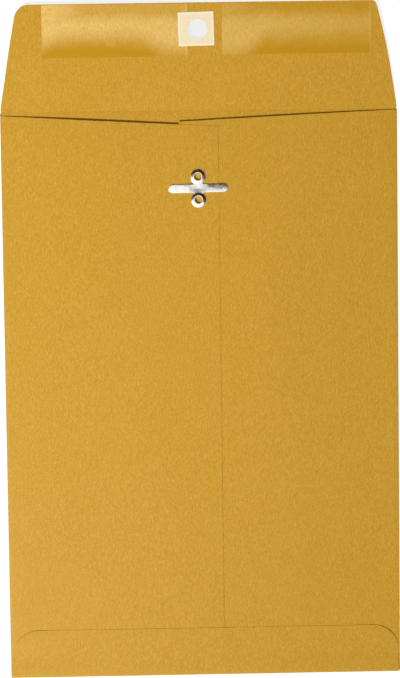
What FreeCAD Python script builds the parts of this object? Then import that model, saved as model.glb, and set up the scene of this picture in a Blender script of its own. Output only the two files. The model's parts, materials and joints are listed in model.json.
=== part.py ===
# Kraft clasp envelope, lying on its front panel with the closing flap open.
# Millimetres. The origin is the centre of the front panel's outer face, on the surface that
# the envelope lies on. X runs across the pocket, +Y towards the closing flap, +Z out of the back.
import FreeCAD
import Part
import os
from math import hypot, radians, tan

Vector = FreeCAD.Vector

# Pocket
pocket_width = 177.2
pocket_length = 255.1
paper = 0.15
glue = 0.05
side_fold_radius = 0.3
bottom_crown = 0.10
throat_crown = 0.85

# Back panels: each reaches past the centre line, and the left one lies over the right one
left_panel_reach = 8.45
right_panel_reach = 9.2
panel_flat_margin = 3.0
left_throat_drop = 1.5
left_throat_slope = 3.05
left_throat_bow = 0.05
right_throat_drop = 0.27
right_throat_slope = 2.6
right_throat_bow = 0.2

# Bottom flap
bottom_flap_length = 21.55
bottom_flap_inset = 0.4
bottom_flap_corner = 13.0
bottom_flap_gap = 0.04
bottom_relief = 0.8

# Closing flap, cut a little shorter and rounder on its left than on its right
left_flap_length = 47.35
left_flap_taper = 8.5
left_flap_side_bow = 0.4
left_flap_corner = 6.2
right_flap_length = 47.95
right_flap_taper = 9.7
right_flap_side_bow = 1.0
right_flap_corner = 2.1
closing_flap_angle = 3.0

# Hole in the closing flap, and the patch around it
hole_radius = 4.55
hole_past_clasp = 1.41
hole_offset = -0.3
patch_width = 15.8
patch_length = 14.8
patch_thickness = 0.12
patch_shift_x = -0.57
patch_shift_y = 0.21

# Gum on the closing flap, printed a little to the right of the middle
gum_thickness = 0.04
gum_from_tip = 0.3
left_gum_ends = (-69.3, -4.9)
left_gum_width = 22.55
right_gum_ends = (10.65, 76.9)
right_gum_width = 21.35

# Adhesive that holds the pocket together
seam_glue_width = 12.0
seam_glue_margin = 9.0
bottom_glue_width = 8.0
bottom_glue_margin = 2.0
bottom_glue_end_margin = 8.0

# Stamped metal clasp
metal = 0.3
clasp_offset = -0.8
clasp_from_fold = 34.44
clasp_turn = 1.0
clasp_seat_gap = 0.03
clasp_neck = 4.1
clasp_neck_fillet = 0.6
prong_width = 4.05
prong_span = 26.5
prong_root = 2.9
prong_clearance = 0.03
eyelet_spacing = 10.3
eyelet_ring_radius = 3.4
eyelet_bore_radius = 1.65
eyelet_wall = 0.22
eyelet_flare = 0.3
eyelet_dome = 0.6
eyelet_roll_reach = 0.9
eyelet_roll_gap = 0.03
eyelet_hole_clearance = 0.06

# Places worked out from the sizes above
fold_y = pocket_length / 2
bottom_y = -pocket_length / 2
inner_half_width = pocket_width / 2 - side_fold_radius
fold_height = 2 * side_fold_radius
wrap_start = bottom_y + bottom_relief
clasp_y = fold_y - clasp_from_fold
hole_from_fold = clasp_from_fold + hole_past_clasp
past_edge = 1.0
above_all = 20.0


def crown_at(y):
    """Height of the back's middle above the side folds: pressed flat at the bottom, open at the throat."""
    share = (y - wrap_start) / (fold_y - wrap_start)
    return bottom_crown + share * (throat_crown - bottom_crown)


def right_panel_top(y):
    """Level of the right back panel under the seam."""
    return fold_height + crown_at(y)


def left_panel_top(y):
    """Level of the left back panel over the seam."""
    return right_panel_top(y) + glue + paper


bottom_flap_level = left_panel_top(bottom_y + bottom_flap_length) + bottom_flap_gap
bottom_fold_radius = (bottom_flap_level + paper) / 2
clasp_level = left_panel_top(clasp_y + eyelet_spacing / 2 + eyelet_ring_radius) + clasp_seat_gap


def line(a, b):
    return Part.LineSegment(a, b).toShape()


def arc(a, middle, b):
    return Part.Arc(a, middle, b).toShape()


def bowed(a, b, bow):
    """Shallow arc from a to b in a level plane, standing out to the left of that way by bow."""
    along = b - a
    leftwards = Vector(-along.y, along.x, 0).normalize()
    return arc(a, (a + b) * 0.5 + leftwards * bow, b)


def swell(a, b):
    """A smooth rise from a to b that leaves and arrives level."""
    curve = Part.BSplineCurve()
    level = Vector(b.x - a.x, 0, 0)
    curve.interpolate(Points=[a, b], InitialTangent=level, FinalTangent=level)
    return curve.toShape()


def prism(points, bottom, top):
    """Upright solid over a flat outline given as (x, y) points."""
    corners = [Vector(x, y, bottom) for x, y in points]
    face = Part.Face(Part.makePolygon(corners + corners[:1]))
    return face.extrude(Vector(0, 0, top - bottom))


def upright(edges, bottom, top):
    """Upright solid over a closed flat outline drawn as edges at the bottom."""
    return Part.Face(Part.Wire(edges)).extrude(Vector(0, 0, top - bottom))


def plate(x0, x1, y0, y1, bottom, top):
    return prism([(x0, y0), (x1, y0), (x1, y1), (x0, y1)], bottom, top)


def round_corners(solid, corners, radius):
    """Rounds the upright edges of a prism that stand on the given (x, y) corners."""
    edges = []
    for edge in solid.Edges:
        ends = [vertex.Point for vertex in edge.Vertexes]
        stands = abs(ends[0].z - ends[-1].z) > 1e-6
        if stands and any(hypot(ends[0].x - x, ends[0].y - y) < 1e-4 for x, y in corners):
            edges.append(edge)
    return solid.makeFillet(radius, edges)


def one_solid(shape, name):
    """The single closed solid that a sub-part has to be."""
    tidy = shape.removeSplitter()
    assert len(tidy.Solids) == 1 and tidy.isValid(), name
    return tidy.Solids[0]


def wrap_section(side, seam_edge, flat_from, level, y):
    """Closed outline of a side fold and its back panel. side is -1 on the left and 1 on the right."""
    outer = side_fold_radius
    inner = side_fold_radius - paper
    fold_x = side * inner_half_width

    def at(x, z):
        return Vector(x, y, z)

    return Part.Wire(
        [
            arc(at(fold_x, 0), at(fold_x + side * outer, outer), at(fold_x, fold_height)),
            swell(at(fold_x, fold_height), at(flat_from, level)),
            line(at(flat_from, level), at(seam_edge, level)),
            line(at(seam_edge, level), at(seam_edge, level - paper)),
            line(at(seam_edge, level - paper), at(flat_from, level - paper)),
            swell(at(flat_from, level - paper), at(fold_x, fold_height - paper)),
            arc(at(fold_x, fold_height - paper), at(fold_x + side * inner, outer), at(fold_x, paper)),
            line(at(fold_x, paper), at(fold_x, 0)),
        ]
    )


def back_panel(side, seam_edge, flat_from, level, throat):
    """A side fold and its back panel. throat is its top edge's drop, slope and bow."""
    drop, slope, bow = throat
    sections = [wrap_section(side, seam_edge, flat_from, level(y), y) for y in (wrap_start, fold_y)]
    panel = Part.makeLoft(sections, True, True)
    low = -past_edge
    outside_x = side * (pocket_width / 2 + past_edge)
    inside_x = seam_edge - side * past_edge
    fall = drop + abs(inside_x - outside_x) * tan(radians(slope))
    ends = [Vector(outside_x, fold_y - drop, low), Vector(inside_x, fold_y - fall, low)]
    ends.sort(key=lambda end: end.x)
    above = [Vector(end.x, fold_y + past_edge, low) for end in reversed(ends)]
    opening = [
        bowed(ends[0], ends[1], bow),
        line(ends[1], above[0]),
        line(above[0], above[1]),
        line(above[1], ends[0]),
    ]
    return panel.cut(upright(opening, low, above_all))


def left_back_panel():
    flat_from = -right_panel_reach - panel_flat_margin
    throat = (left_throat_drop, left_throat_slope, left_throat_bow)
    return back_panel(-1, left_panel_reach, flat_from, left_panel_top, throat)


def right_back_panel():
    flat_from = left_panel_reach + panel_flat_margin
    throat = (right_throat_drop, right_throat_slope, right_throat_bow)
    return back_panel(1, -right_panel_reach, flat_from, right_panel_top, throat)


def front_panel():
    start = bottom_y + bottom_fold_radius
    return plate(-inner_half_width, inner_half_width, start, fold_y, 0, paper)


def bottom_fold():
    """Half turn of the sheet round the pocket's lower end."""
    centre_y = bottom_y + bottom_fold_radius
    outer = bottom_fold_radius
    inner = bottom_fold_radius - paper

    def at(y, z):
        return Vector(-inner_half_width, y, z)

    section = Part.Wire(
        [
            arc(at(centre_y, 0), at(centre_y - outer, outer), at(centre_y, 2 * outer)),
            line(at(centre_y, 2 * outer), at(centre_y, 2 * outer - paper)),
            arc(at(centre_y, 2 * outer - paper), at(centre_y - inner, outer), at(centre_y, paper)),
            line(at(centre_y, paper), at(centre_y, 0)),
        ]
    )
    return Part.Face(section).extrude(Vector(2 * inner_half_width, 0, 0))


def bottom_flap():
    half = inner_half_width - bottom_flap_inset
    start = bottom_y + bottom_fold_radius
    end = bottom_y + bottom_flap_length
    flap = plate(-half, half, start, end, bottom_flap_level, bottom_flap_level + paper)
    return round_corners(flap, [(-half, end), (half, end)], bottom_flap_corner)


def raise_flap(shape):
    """Turns something modelled flat beyond the fold up to the angle at which the flap stands open."""
    turned = shape.copy()
    turned.rotate(Vector(0, fold_y, 0), Vector(1, 0, 0), closing_flap_angle)
    return turned


def flap_hole():
    centre = Vector(hole_offset, fold_y + hole_from_fold, -1)
    return Part.makeCylinder(hole_radius, above_all, centre)


def closing_flap():
    fold_left = Vector(-inner_half_width, fold_y, 0)
    fold_right = Vector(inner_half_width, fold_y, 0)
    tip_left = Vector(left_flap_taper - pocket_width / 2, fold_y + left_flap_length, 0)
    tip_right = Vector(pocket_width / 2 - right_flap_taper, fold_y + right_flap_length, 0)
    outline = [
        line(fold_left, fold_right),
        bowed(fold_right, tip_right, -right_flap_side_bow),
        line(tip_right, tip_left),
        bowed(tip_left, fold_left, -left_flap_side_bow),
    ]
    flap = upright(outline, 0, paper)
    flap = round_corners(flap, [(tip_left.x, tip_left.y)], left_flap_corner)
    flap = round_corners(flap, [(tip_right.x, tip_right.y)], right_flap_corner)
    return raise_flap(flap.cut(flap_hole()))


def turn_clasp(shape):
    """Sets something modelled square to the pocket as askew as the clasp is."""
    turned = shape.copy()
    turned.rotate(Vector(clasp_offset, clasp_y, 0), Vector(0, 0, 1), clasp_turn)
    return turned


def eyelet_centres():
    return [(clasp_offset, clasp_y + step * eyelet_spacing / 2) for step in (-1, 1)]


def eyelet_holes():
    """Holes that the clasp's two barrels pass through."""
    radius = eyelet_bore_radius + eyelet_wall + eyelet_hole_clearance
    low = side_fold_radius + paper
    holes = [Part.makeCylinder(radius, above_all, Vector(x, y, low)) for x, y in eyelet_centres()]
    return turn_clasp(Part.makeCompound(holes))


def kraft_sheet():
    """The die-cut sheet, folded: front panel, two back panels, bottom flap and closing flap."""
    back = left_back_panel().fuse(right_back_panel()).cut(eyelet_holes())
    sheet = front_panel().fuse([back, bottom_fold(), bottom_flap(), closing_flap()])
    return one_solid(sheet, "kraft_sheet")


def centre_seam_glue():
    """Strip between the two back panels, as thick as the gap that it fills."""
    middle = (left_panel_reach - right_panel_reach) / 2
    x0 = middle - seam_glue_width / 2
    x1 = middle + seam_glue_width / 2
    sections = []
    for y in (wrap_start + seam_glue_margin, fold_y - seam_glue_margin):
        low = right_panel_top(y)
        corners = [(x0, low), (x1, low), (x1, low + glue), (x0, low + glue), (x0, low)]
        sections.append(Part.makePolygon([Vector(x, y, z) for x, z in corners]))
    strip = Part.makeLoft(sections, True, True)
    return one_solid(strip.cut(eyelet_holes()), "centre_seam_glue")


def space_under_bottom_flap():
    """What lies between the back panels and the bottom flap, over the whole width of the pocket."""
    right_flat = left_panel_reach + panel_flat_margin
    left_flat = -right_panel_reach - panel_flat_margin
    sections = []
    for y in (wrap_start, bottom_y + bottom_flap_length):
        outline = [
            (-inner_half_width, fold_height),
            (left_flat, left_panel_top(y)),
            (left_panel_reach, left_panel_top(y)),
            (left_panel_reach, right_panel_top(y)),
            (right_flat, right_panel_top(y)),
            (inner_half_width, fold_height),
            (inner_half_width, bottom_flap_level),
            (-inner_half_width, bottom_flap_level),
        ]
        points = [Vector(x, y, z) for x, z in outline]
        edges = [line(a, b) for a, b in zip(points, points[1:] + points[:1])]
        edges[0] = swell(points[0], points[1])
        edges[4] = swell(points[4], points[5])
        sections.append(Part.Wire(edges))
    return Part.makeLoft(sections, True, True)


def bottom_flap_glue():
    """Band along the bottom flap's free edge, down to the back panels below it."""
    end = bottom_y + bottom_flap_length - bottom_glue_margin
    half = inner_half_width - bottom_glue_end_margin
    band = plate(-half, half, end - bottom_glue_width, end, 0, above_all)
    return one_solid(space_under_bottom_flap().common(band), "bottom_flap_glue")


def patch_outline(bottom, top):
    x = hole_offset + patch_shift_x
    y = fold_y + hole_from_fold + patch_shift_y
    return plate(
        x - patch_width / 2, x + patch_width / 2, y - patch_length / 2, y + patch_length / 2, bottom, top
    )


def flap_hole_patch():
    """Square of tough paper that keeps the flap's hole from tearing."""
    patch = patch_outline(paper, paper + patch_thickness)
    return one_solid(raise_flap(patch.cut(flap_hole())), "flap_hole_patch")


def flap_gum(ends, width, name):
    """Film of dry gum along the closing flap's tip, which stops at the patch."""
    tip = fold_y + left_flap_length - gum_from_tip
    film = plate(ends[0], ends[1], tip - width, tip, paper, paper + gum_thickness)
    return one_solid(raise_flap(film.cut(patch_outline(0, above_all))), name)


def eyelet(x, y):
    """Domed ring, drawn barrel through both back panels, and the roll that clinches it inside the pocket."""
    ring = eyelet_ring_radius
    bore = eyelet_bore_radius
    barrel = bore + eyelet_wall
    crest = (ring + bore) / 2
    roll_end = bore + eyelet_roll_reach
    lowest_panel = right_panel_top(clasp_y - eyelet_spacing / 2 - ring) - paper
    roll_top = lowest_panel - eyelet_roll_gap
    roll_bottom = roll_top - eyelet_wall

    def at(radius, z):
        return Vector(x + radius, y, z)

    section = Part.Wire(
        [
            arc(at(ring, clasp_level), at(crest, clasp_level + eyelet_dome), at(bore, clasp_level)),
            line(at(bore, clasp_level), at(bore, roll_bottom + eyelet_flare)),
            line(at(bore, roll_bottom + eyelet_flare), at(bore + eyelet_flare, roll_bottom)),
            line(at(bore + eyelet_flare, roll_bottom), at(roll_end, roll_bottom)),
            line(at(roll_end, roll_bottom), at(roll_end, roll_top)),
            line(at(roll_end, roll_top), at(barrel, roll_top)),
            line(at(barrel, roll_top), at(barrel, clasp_level)),
            arc(
                at(barrel, clasp_level),
                at(crest, clasp_level + eyelet_dome - metal),
                at(ring - eyelet_wall, clasp_level),
            ),
            line(at(ring - eyelet_wall, clasp_level), at(ring, clasp_level)),
        ]
    )
    return Part.Face(section).revolve(Vector(x, y, 0), Vector(0, 0, 1), 360)


def clasp_base():
    """Middle of the stamping and its two eyelets; the prongs bend at the middle's two ends."""
    half_x = prong_root - metal / 2 - prong_clearance
    half_y = prong_width / 2
    neck_x = clasp_neck / 2
    neck_y = eyelet_spacing / 2 - eyelet_bore_radius - eyelet_wall
    top = clasp_level + metal
    middle = plate(
        clasp_offset - half_x, clasp_offset + half_x, clasp_y - half_y, clasp_y + half_y, clasp_level, top
    )
    necks = plate(
        clasp_offset - neck_x, clasp_offset + neck_x, clasp_y - neck_y, clasp_y + neck_y, clasp_level, top
    )
    corners = [
        (clasp_offset + side * neck_x, clasp_y + end * half_y) for side in (-1, 1) for end in (-1, 1)
    ]
    cross = round_corners(middle.fuse(necks).removeSplitter(), corners, clasp_neck_fillet)
    eyelets = [eyelet(x, y) for x, y in eyelet_centres()]
    return one_solid(turn_clasp(cross.fuse(eyelets)), "clasp_base")


def clasp_prong(side, name):
    """A prong with a round tip. Its root is rounded about the line on which it bends."""
    root_x = clasp_offset + side * prong_root
    tip_x = clasp_offset + side * (prong_span - prong_width) / 2
    low_y = clasp_y - prong_width / 2
    high_y = clasp_y + prong_width / 2
    middle = clasp_level + metal / 2
    strip = plate(
        min(root_x, tip_x), max(root_x, tip_x), low_y, high_y, clasp_level, clasp_level + metal
    )
    tip = Part.makeCylinder(prong_width / 2, metal, Vector(tip_x, clasp_y, clasp_level))
    root = Part.makeCylinder(metal / 2, prong_width, Vector(root_x, low_y, middle), Vector(0, 1, 0))
    return one_solid(turn_clasp(strip.fuse([tip, root])), name)


def main():
    nodes = {
        "kraft_sheet": kraft_sheet(),
        "centre_seam_glue": centre_seam_glue(),
        "bottom_flap_glue": bottom_flap_glue(),
        "flap_gum_left": flap_gum(left_gum_ends, left_gum_width, "flap_gum_left"),
        "flap_gum_right": flap_gum(right_gum_ends, right_gum_width, "flap_gum_right"),
        "flap_hole_patch": flap_hole_patch(),
        "clasp_base": clasp_base(),
        "clasp_prong_left": clasp_prong(-1, "clasp_prong_left"),
        "clasp_prong_right": clasp_prong(1, "clasp_prong_right"),
    }
    os.makedirs("parts", exist_ok=True)
    for name, solid in nodes.items():
        solid.exportStep("parts/" + name + ".step")
        box = solid.BoundBox
        print(
            f"{name}: {solid.Volume:.2f} mm3,"
            f" x {box.XMin:.2f} to {box.XMax:.2f},"
            f" y {box.YMin:.2f} to {box.YMax:.2f},"
            f" z {box.ZMin:.3f} to {box.ZMax:.3f}"
        )
    for side in (-1, 1):
        point = Vector(clasp_offset + side * prong_root, clasp_y, clasp_level + metal / 2)
        on_axis = turn_clasp(Part.Vertex(point)).Point
        print(f"prong axis through {on_axis.x:.4f}, {on_axis.y:.4f}, {on_axis.z:.4f}")


main()
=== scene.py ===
"""Looks of the kraft clasp envelope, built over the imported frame. Lengths are in metres."""
import json
import math

import bmesh
import bpy
from mathutils import Euler, Matrix, Vector, noise


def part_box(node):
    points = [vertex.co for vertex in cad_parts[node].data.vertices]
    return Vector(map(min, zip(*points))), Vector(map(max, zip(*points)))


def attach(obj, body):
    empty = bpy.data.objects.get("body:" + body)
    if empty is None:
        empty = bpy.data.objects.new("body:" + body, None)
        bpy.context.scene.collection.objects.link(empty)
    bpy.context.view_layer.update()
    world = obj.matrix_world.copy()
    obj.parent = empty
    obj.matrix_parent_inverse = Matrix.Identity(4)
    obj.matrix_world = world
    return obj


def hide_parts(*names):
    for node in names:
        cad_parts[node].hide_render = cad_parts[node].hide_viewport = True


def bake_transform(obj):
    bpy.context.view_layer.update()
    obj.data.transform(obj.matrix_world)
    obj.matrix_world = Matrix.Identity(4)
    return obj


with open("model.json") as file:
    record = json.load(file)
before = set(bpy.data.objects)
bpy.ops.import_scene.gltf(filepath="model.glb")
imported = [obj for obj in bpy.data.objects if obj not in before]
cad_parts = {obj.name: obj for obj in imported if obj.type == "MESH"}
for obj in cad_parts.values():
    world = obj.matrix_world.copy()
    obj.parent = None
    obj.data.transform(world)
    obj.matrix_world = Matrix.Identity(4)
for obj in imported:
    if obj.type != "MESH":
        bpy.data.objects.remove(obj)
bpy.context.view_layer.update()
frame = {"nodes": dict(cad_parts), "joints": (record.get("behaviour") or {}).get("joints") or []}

MM = 0.001
SAME_POINT = 0.001 * MM
NEAR = 0.01 * MM

# Places that the frame gives
SHEET_LOW, SHEET_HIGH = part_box("kraft_sheet")
HALF_WIDTH = SHEET_HIGH.x
BOTTOM_Y = SHEET_LOW.y
FOLD_Y = -BOTTOM_Y
CLASP_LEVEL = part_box("clasp_prong_left")[0].z
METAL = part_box("clasp_prong_left")[1].z - CLASP_LEVEL
LEFT_ROOT = Vector(frame["joints"][0]["pos_m"])
RIGHT_ROOT = Vector(frame["joints"][1]["pos_m"])
CLASP_CENTRE = (LEFT_ROOT + RIGHT_ROOT) / 2
PRONG_ROOT = (RIGHT_ROOT - LEFT_ROOT).length / 2
CLASP_TURN = math.atan2(RIGHT_ROOT.y - LEFT_ROOT.y, RIGHT_ROOT.x - LEFT_ROOT.x)

# The sheet
PAPER = 0.15 * MM
GLUE = 0.05 * MM
SIDE_FOLD = 0.3 * MM
INNER_HALF = HALF_WIDTH - SIDE_FOLD
BOTTOM_FOLD = 0.576 * MM
BOTTOM_CROWN = 0.10 * MM
THROAT_CROWN = 0.85 * MM
LEFT_REACH = 8.45 * MM
RIGHT_REACH = 9.2 * MM
FLAT_MARGIN = 3.0 * MM
MOUTH_DIP = 0.15 * MM
WRAP_START = BOTTOM_Y + 0.8 * MM
LEFT_THROAT = {"drop": 1.40 * MM, "slope": math.radians(3.27), "bow": -0.16 * MM}
RIGHT_THROAT = {"drop": 0.32 * MM, "slope": math.radians(2.63), "bow": 0.06 * MM}
BOTTOM_FLAP = 21.55 * MM
BOTTOM_FLAP_INSET = 0.4 * MM
BOTTOM_FLAP_CORNER = {-1: 12.4 * MM, 1: 11.4 * MM}
FLAP_SEAT_GAP = 0.03 * MM
FLAP_EDGE_CURL = -0.02 * MM
FLAP_CORNER_CURL = 0.25 * MM
BOTTOM_GLUE = {"half": 80.3 * MM, "low": -116.0 * MM, "high": -108.0 * MM}
GLUE_CLEARANCE = 0.005 * MM
FRONT_LIFT = 0.68 * MM
FRONT_LIFT_REACH = 30 * MM

# Where the sheet's forms set in: a start, and the length over which each grows to its full amount
MOUTH_SWELLS = (-60 * MM, 50 * MM)
MOUTH_DIPS = (-22 * MM, 18 * MM)
LAP_EASE = 6 * MM
BOTTOM_FLAP_SETTLES = (1 * MM, 9 * MM)
BOTTOM_FLAP_DRAWN_IN = (0.0, 2 * MM)
EDGE_CURLS = (-5 * MM, 5 * MM)
CORNER_CURLS_ACROSS = (64 * MM, 20 * MM)
CORNER_CURLS_ALONG = (-16 * MM, 14 * MM)

# Slight waves of the back panels: how close they are to each other, how deep, and where they set in
WAVES_BROAD = (16, 9)
WAVES_FINE = (34, 22)
WAVES_LEAST = 0.08 * MM
WAVES_MORE = 0.16 * MM
WAVES_FROM_SEAM = (12 * MM, 30 * MM)
WAVES_ABOVE_FLAP = (24 * MM, 30 * MM)
WAVES_FROM_CLASP = (14 * MM, 20 * MM)
WAVES_FROM_FOLD = (0.0, 12 * MM)

# The closing flap and what is on it, measured along the flap from its fold
FLAP = 47.35 * MM
FLAP_SIDES = {
    -1: {"length": 47.35 * MM, "taper": 8.4 * MM, "bow": 0.45 * MM, "corner": 5.2 * MM},
    1: {"length": 47.95 * MM, "taper": 9.6 * MM, "bow": 1.1 * MM, "corner": 1.8 * MM},
}
FLAP_RISE = math.radians(3.0)
FLAP_BEND = 1.5 * MM
FLAP_SHOULDER = 0.26 * MM
SHOULDER_FADES = (FLAP_BEND, 14 * MM)
COCKLE = 0.10 * MM
COCKLE_WAVES = (22, 30)
COCKLE_FROM_FOLD = (0.0, 15 * MM)
CREASE_DEPTH = 0.040 * MM
CREASE_PLACE = 0.45 * MM
CREASE_WIDTH = 0.28 * MM
HOLE_RADIUS = 4.55 * MM
HOLE = (-0.3 * MM, 35.85 * MM)
PATCH_CENTRE = (-0.87 * MM, 36.06 * MM)
PATCH_SIZE = (15.8 * MM, 14.8 * MM)
PATCH_TURN = math.radians(1.3)
PATCH_THICKNESS = 0.12 * MM
GUM = 0.04 * MM
GUM_TOP = 47.05 * MM
GUM_EDGE_WANDER = 0.25 * MM
GUM_EDGE_WAVES = (90, 90)
GUM_EDGE_WANDERS = (0.0, 2 * MM)
GUM_SAGS_ACROSS = (0.0, 48 * MM)
GUM_SAGS_ALONG = (0.0, 6 * MM)

# Each film: its left and right ends, its lower edge there, how high it runs out thin to the left and to
# the right of a knee, how much lower than that at its left end, how its strip at the flap's tip turns
# milky from one knee to the other, how deep its colour is there, and how milky it is at each end. The
# milky colour is partly painted sheen, and the deep colour is partly painted dark reflection.
LEFT_GUM = {
    "ends": (-69.3 * MM, -4.9 * MM),
    "low": (23.8 * MM, 24.1 * MM),
    "knee": (-28 * MM, -13 * MM),
    "thin_above": (28.3 * MM, 22.5 * MM),
    "end_drop": 2.4 * MM,
    "tip_knee": (-66 * MM, -48 * MM),
    "tip_milk_and_sheen": (0.95, 0.28),
    "tip_deep_and_dark_reflection": 0.05,
    "milk_and_sheen": (0.93, 0.86),
}
RIGHT_GUM = {
    "ends": (10.65 * MM, 76.9 * MM),
    "low": (24.8 * MM, 24.8 * MM),
    "knee": (17 * MM, 32 * MM),
    "thin_above": (20.5 * MM, 28.0 * MM),
    "end_drop": 0.0,
    "tip_knee": (14 * MM, 30 * MM),
    "tip_milk_and_sheen": (0.5, 0.05),
    "tip_deep_and_dark_reflection": 0.6,
    "milk_and_sheen": (0.58, 0.30),
}

# The clasp, square to itself
PRONG_WIDTH = 3.9 * MM
PRONG_REACH = 13.25 * MM
NECK = 4.1 * MM
NECK_FILLET = 0.6 * MM
NECK_REACH = 2.75 * MM
EYELET_SPACING = 10.3 * MM
RING_RADIUS = 3.4 * MM
RING_CREST = 0.18 * MM
BORE_RADIUS = 1.65 * MM
BARREL_WALL = 0.22 * MM
DOME = 0.60 * MM
RING_RIM = 0.22 * MM
CONE = 0.75
ROLL_REACH = 0.9 * MM
ROLL_FLARE = 0.3 * MM
PRONG_DROOP = 0.05 * MM
PRONG_LIFT = 0.03 * MM
PRONG_TWIST = {-1: 0.060, 1: -0.024}
PRONG_CROWN = 0.07 * MM
PRONG_DENTS = 0.018 * MM
DENT_WAVES = (700, 700)
FORM_FROM_ROOT = 3 * MM
RIM_ROUND = 0.10 * MM
RIM_ANGLE = math.radians(60)
DIMPLE_DEPTH = 0.10 * MM
DIMPLE_RADIUS = 2.1 * MM
EYELET_HOLE = 1.93 * MM

# Length of the punches. The eyelets' one is centred high, so it goes through the back and stays clear of
# the front.
HOLE_PUNCH = 6 * MM
EYELET_PUNCH = 3 * MM
EYELET_PUNCH_HEIGHT = 2 * SIDE_FOLD + 1.8 * MM

# How finely the pieces are divided
FRONT_COLUMNS, FRONT_ROWS = 72, 104
FOLD_STEPS = 8
PANEL_STEPS = 40
LOWER_FLAP_STEPS, LOWER_CORNER_STEPS = 5, 22
BEND_STEPS, UPPER_FLAP_STEPS = 10, 26
WIDE_CORNER_STEPS, TIGHT_CORNER_STEPS = 20, 10
GLUE_COLUMNS, GLUE_ROWS = 120, 6
FILM_COLUMNS, FILM_ROWS = 60, 22
PATCH_POINTS, PATCH_RINGS = 64, 7
PRONG_COLUMNS, PRONG_TIP_COLUMNS, PRONG_ROWS = 84, 14, 10
ARC_STEPS = 16
ROUND_STEPS = 72


def smooth(t):
    """0 to 1 in an even curve, held at both ends."""
    t = min(max(t, 0.0), 1.0)
    return t * t * (3 - 2 * t)


def eased(value, start, length):
    """0 up to the start, 1 from a length beyond it, and smooth between the two."""
    return smooth((value - start) / length)


def waves_at(x, y, waves, seed):
    """Even noise between about -1 and 1, with so many waves to the metre across and along."""
    return noise.noise(Vector((x * waves[0], y * waves[1], seed)))


# Form of the sheet


def crown(y):
    """Height of the back's middle above the side folds."""
    share = (y - WRAP_START) / (FOLD_Y - WRAP_START)
    return BOTTOM_CROWN + share * (THROAT_CROWN - BOTTOM_CROWN)


def ripple(x, y):
    """Slight waves of the two back panels, calm under the bottom flap and round the clasp."""
    waves = waves_at(x, y, WAVES_BROAD, seed=0.3) + 0.5 * waves_at(x, y, WAVES_FINE, seed=4.1)
    depth = WAVES_LEAST + WAVES_MORE * eased(abs(x), *WAVES_FROM_SEAM)
    above_flap = eased(y - BOTTOM_Y, *WAVES_ABOVE_FLAP)
    from_clasp = eased((Vector((x, y)) - CLASP_CENTRE.xy).length, *WAVES_FROM_CLASP)
    from_fold = eased(INNER_HALF - abs(x), *WAVES_FROM_FOLD)
    return depth * waves * above_flap * from_clasp * from_fold


def back_height(side, x, y):
    """Outer face of the left (-1) or right (1) back panel."""
    flat_from = RIGHT_REACH + FLAT_MARGIN if side < 0 else LEFT_REACH + FLAT_MARGIN
    rise = crown(y) + (GLUE + PAPER if side < 0 else 0)
    from_fold = min((INNER_HALF - side * x) / (INNER_HALF - flat_from), 1.0)
    mouth = eased(y - FOLD_Y, *MOUTH_SWELLS)
    swell = (1 - mouth) * smooth(from_fold) + mouth * (1 - (1 - from_fold) ** 3)
    rise -= MOUTH_DIP * eased(y - FOLD_Y, *MOUTH_DIPS)
    return 2 * SIDE_FOLD + rise * swell + ripple(x, y)


def throat_y(side, x):
    """Top edge of a back panel: it falls from the side fold towards the seam in a shallow arc."""
    throat = LEFT_THROAT if side < 0 else RIGHT_THROAT
    reach = LEFT_REACH if side < 0 else RIGHT_REACH
    length = HALF_WIDTH + reach
    share = (HALF_WIDTH - side * x) / length
    fall = throat["drop"] + share * length * math.tan(throat["slope"])
    return FOLD_Y - fall + throat["bow"] * 4 * share * (1 - share)


def flap_half_width(side, along):
    """Half the closing flap's width on one side, with its bowed edge and round corner."""
    form = FLAP_SIDES[side]
    share = along / form["length"]
    width = INNER_HALF - share * (INNER_HALF - HALF_WIDTH + form["taper"])
    width += form["bow"] * 4 * share * (1 - share)
    width += FLAP_SHOULDER * smooth(along / FLAP_BEND) * (1 - eased(along, *SHOULDER_FADES))
    corner = form["corner"]
    into_corner = min(max(along - (form["length"] - corner), 0.0), corner)
    return width - corner + math.sqrt(corner**2 - into_corner**2)


def flap_place(x, along, height):
    """Point of the closing flap, at a height above its lower face."""
    bent = min(along, FLAP_BEND)
    slope = FLAP_RISE * smooth(along / FLAP_BEND)
    rise = (along - bent / 2) * math.sin(FLAP_RISE) if along > 0 else 0.0
    cockle = COCKLE * waves_at(x, along, COCKLE_WAVES, seed=7.7) * eased(along, *COCKLE_FROM_FOLD)
    cockle -= CREASE_DEPTH * math.exp(-(((along - CREASE_PLACE) / CREASE_WIDTH) ** 2))
    across = Vector((0, -math.sin(slope), math.cos(slope)))
    return Vector((x, FOLD_Y + along * math.cos(slope), rise + cockle)) + across * height


# Mesh tools


def open_edges(bm, test):
    return [edge for edge in bm.edges if edge.is_boundary and all(test(v.co) for v in edge.verts)]


def points_in(made):
    return {item for item in made if isinstance(item, bmesh.types.BMVert)}


def edges_in(made):
    return [item for item in made if isinstance(item, bmesh.types.BMEdge)]


def edges_between(made, points):
    return [edge for edge in edges_in(made) if points.issuperset(edge.verts)]


def flat_grid(x0, x1, y0, y1, columns, rows):
    """A level grid of points between two corners."""
    bm = bmesh.new()
    size = Matrix.Diagonal((x1 - x0, y1 - y0, 1, 1))
    middle = Matrix.Translation(((x0 + x1) / 2, (y0 + y1) / 2, 0))
    bmesh.ops.create_grid(bm, x_segments=columns, y_segments=rows, size=0.5, matrix=middle @ size)
    return bm


def grow(bm, edges, steps, way):
    """Extends the sheet from its open edges by each step in turn, and returns the new points."""
    grown = []
    for step in steps:
        made = bmesh.ops.extrude_edge_only(bm, edges=edges)["geom"]
        points = points_in(made)
        bmesh.ops.translate(bm, verts=list(points), vec=way * step)
        edges = edges_between(made, points)
        grown.extend(points)
    return grown


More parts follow.
